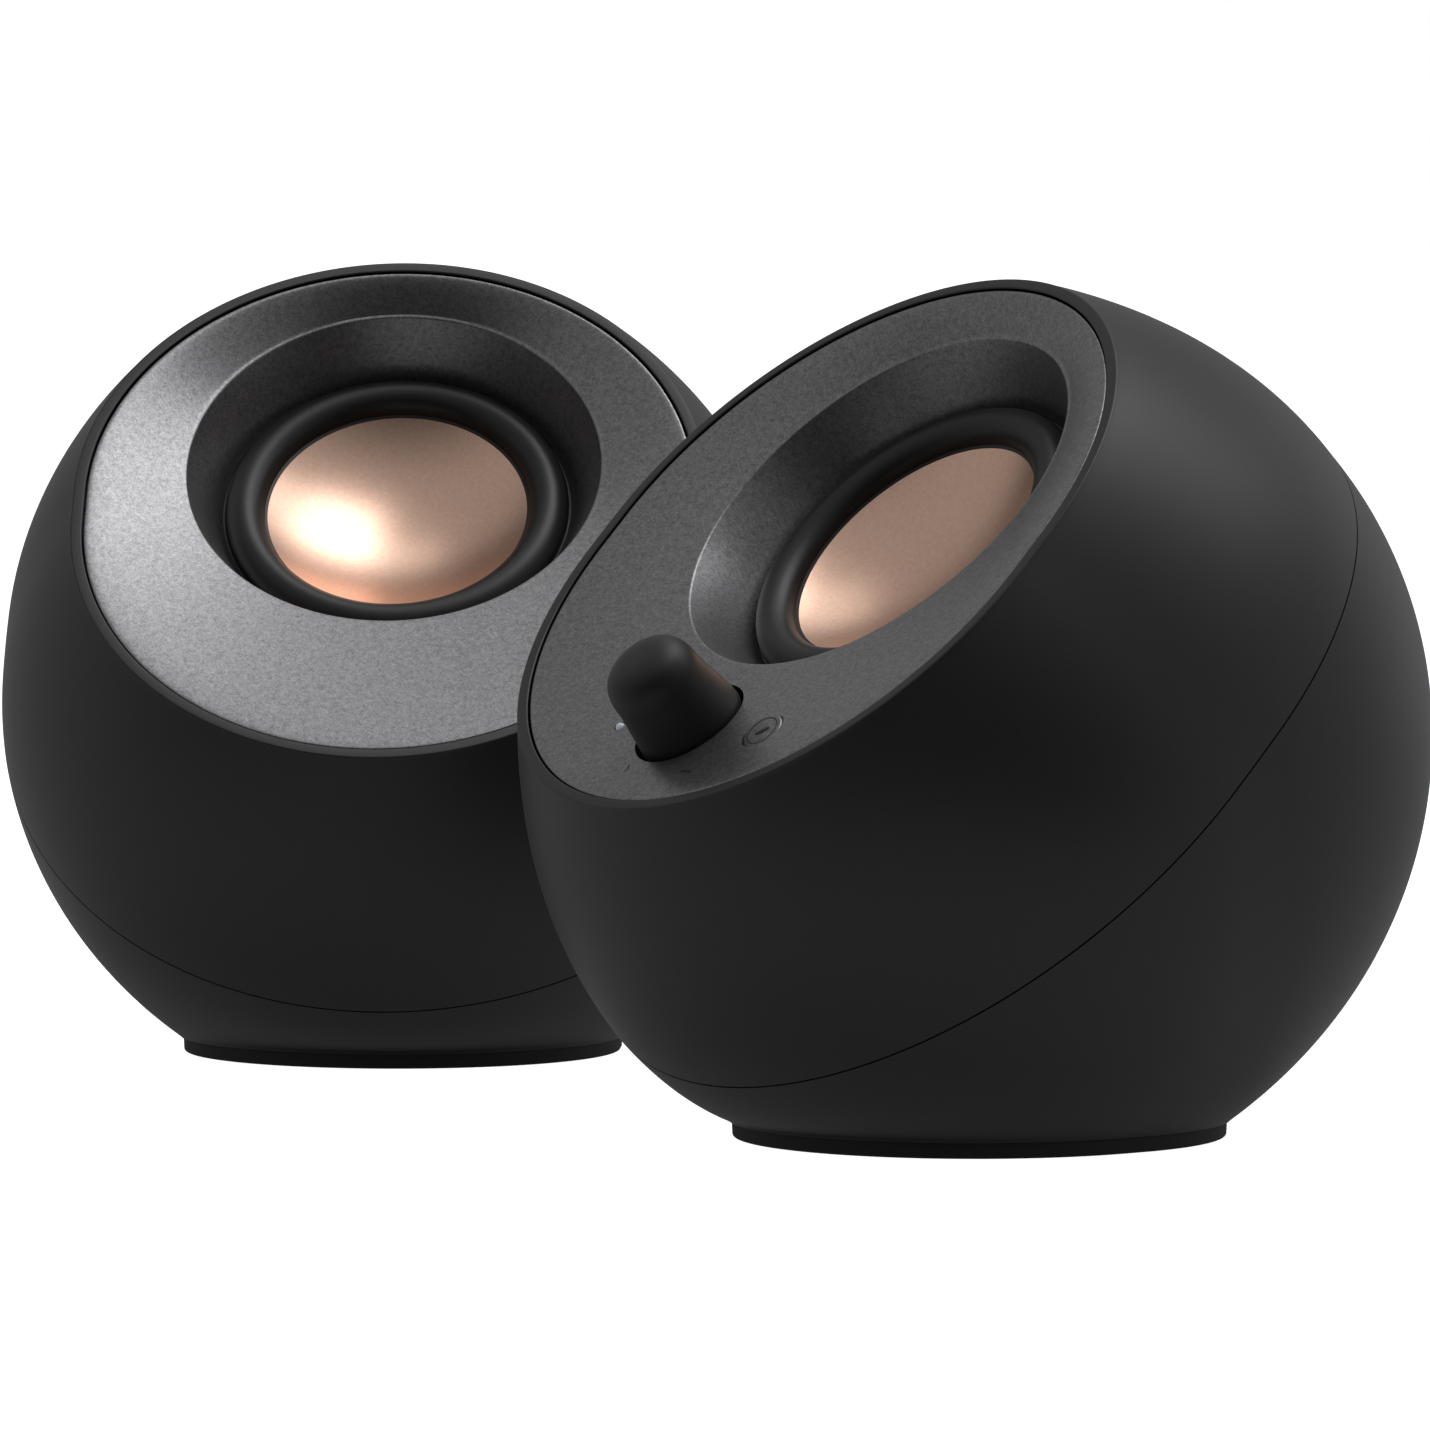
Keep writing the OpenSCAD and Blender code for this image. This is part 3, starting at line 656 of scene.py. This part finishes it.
# %% Backs
ROLL_IN, PLATE_EDGE = 19, 18.98
frame_profile = rounded([(27, 0, 0), (RADIATOR_R, 0, 0.1), (RADIATOR_R, 3, 0.5), (RADIATOR_R - 4.5, 3, 0.8),
                         (RADIATOR_R - 4.5, 0, 0.1), (27, 0, 0)], 5)[:-1]
cap_profile = rounded([(0, -0.5, 0), (PLATE_EDGE, -0.5, 0.2), (PLATE_EDGE, 1, 0.4), (14, 1.05, 0.6),
                       (13, 1.8, 0.8), (0, 1.8, 0)], 5)
for side in STAND:
    seat = backwards(0, RADIATOR_SEAT, RADIATOR_H, STAND[side])
    rim = lathe(f"{side}_radiator_frame_skin", frame_profile, seat, 160, loop=True)
    settle(rim, "cabinets", f"{side}_radiator_frame")
    roll = half_roll(f"{side}_radiator_roll_skin", ROLL_IN, RADIATOR_R - 4.6, 0.6, 0.2, -0.05, seat)
    flexing(roll)
    roll.data.materials.append(MATERIALS["roll_rubber"])
    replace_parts(roll, f"{side}_radiator_surround")
    plate = lathe(f"{side}_radiator_plate_skin", cap_profile, seat, 128)
    settle(plate, f"{side}_radiator", f"{side}_radiator_plate")

def socket(name, node, x):
    """The collar of a socket, which shows on the right panel around its hole."""
    profile = rounded([(2.4, -1, 0), (3.9, -1, 0.1), (3.9, 0.9, 0.35), (1.85, 0.9, 0.4), (1.85, -1, 0),
                       (2.4, -1, 0)], 5)[:-1]
    piece = lathe(name, profile, backwards(x, PANEL_Y, JACK_H), 64, loop=True)
    piece.data.materials.append(MATERIALS[slots[node]])
    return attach(piece, "cabinets")

socket("aux_collar", "aux_jack", JACK_X["right"][0])
socket("link_collar", "link_jack", JACK_X["right"][1])
print("backs fitted")

# %% [markdown]
# ## Floor and light
# The pair stands in a white studio. A softly glowing floor under it throws light up onto the shells, and the
# wide plain white sheet just below that is all that the camera sees of it. The lamps hang high, mostly to
# the right and behind, which draws the highlights in the hollow of each cone. The room is dimmer on the
# camera's side, so that the shells stay dark where they face it and lighten towards their edges.

# %% Floor, lamps and background
def glowing(name, brightness, paleness=0.9):
    """A plain matt material of that paleness that also gives off light of that brightness."""
    material, tree, shader = node_material(name)
    shader.inputs["Base Color"].default_value = (paleness, paleness, paleness, 1)
    shader.inputs["Roughness"].default_value = 0.9
    shader.inputs["Emission Color"].default_value = (1, 1, 1, 1)
    shader.inputs["Emission Strength"].default_value = brightness
    return material

def plane(name, size, material):
    """A level square at the height of the table top."""
    mesh = bpy.data.meshes.new(name)
    half = size / 2
    corners = [(-half, -half, 0), (half, -half, 0), (half, half, 0), (-half, half, 0)]
    mesh.from_pydata(corners, [], [(0, 1, 2, 3)])
    mesh.materials.append(material)
    piece = bpy.data.objects.new(name, mesh)
    bpy.context.scene.collection.objects.link(piece)
    return piece

floor = plane("studio_floor", 0.5, glowing("studio_floor", 0.15, 0.25))
floor.visible_camera = False
sheet = plane("white_sheet", 12, glowing("white_sheet", 1.0))
sheet.visible_diffuse = sheet.visible_glossy = sheet.visible_shadow = sheet.visible_transmission = False
sheet.location.z = -0.0005

def softbox(name, towards, distance, width, height, power):
    """A square lamp that hangs at a distance in a direction (right, away, up), as the camera sees it."""
    lamp = bpy.data.lights.new(name, "AREA")
    lamp.shape = "RECTANGLE"
    lamp.size, lamp.size_y = width, height
    lamp.energy = power
    holder = bpy.data.objects.new(name, lamp)
    bpy.context.scene.collection.objects.link(holder)
    aim = view_spin @ Vector((-0.06, 0.05, 0.06))
    place = aim + view_spin @ Vector(towards).normalized() * distance
    facing = (place - aim).to_track_quat("Z", "Y").to_matrix().to_4x4()
    holder.matrix_world = Matrix.Translation(place) @ facing
    return holder

softbox("overhead_wide", (0.05, 0.3, 1), 1.3, 0.9, 0.7, 1.25)
softbox("overhead_right", (0.8, 0.1, 0.9), 1.3, 0.7, 0.7, 1.8)
softbox("key", (0.28, 0, 1), 1.3, 0.8, 0.6, 4.2)
softbox("right_back", (1, 0.9, 0.35), 1.3, 0.8, 0.8, 0.4)

world = bpy.data.worlds.new("studio")
world.use_nodes = True
room, link = world.node_tree.nodes, world.node_tree.links.new
seen, lights = room["Background"], room.new("ShaderNodeBackground")
choice, ray = room.new("ShaderNodeMixShader"), room.new("ShaderNodeLightPath")
way = room.new("ShaderNodeTexCoord")
towards, fall = room.new("ShaderNodeVectorMath"), room.new("ShaderNodeMapRange")
towards.operation = "DOT_PRODUCT"
towards.inputs[1].default_value = view_spin.to_3x3() @ Vector((-0.1, -1, -0.5)).normalized()
fall.interpolation_type = "SMOOTHSTEP"
for field, value in zip(("From Min", "From Max", "To Min", "To Max"), (0.1, 0.85, 0.32, 0.02)):
    fall.inputs[field].default_value = value
link(way.outputs["Generated"], towards.inputs[0])
link(towards.outputs["Value"], fall.inputs["Value"])
link(fall.outputs["Result"], lights.inputs["Strength"])
link(ray.outputs["Is Camera Ray"], choice.inputs["Fac"])
link(lights.outputs[0], choice.inputs[1])
link(seen.outputs[0], choice.inputs[2])
link(choice.outputs[0], room["World Output"].inputs["Surface"])
seen.inputs["Color"].default_value = lights.inputs["Color"].default_value = (1, 1, 1, 1)
bpy.context.scene.world = world
bpy.context.scene.view_settings.view_transform = "Standard"
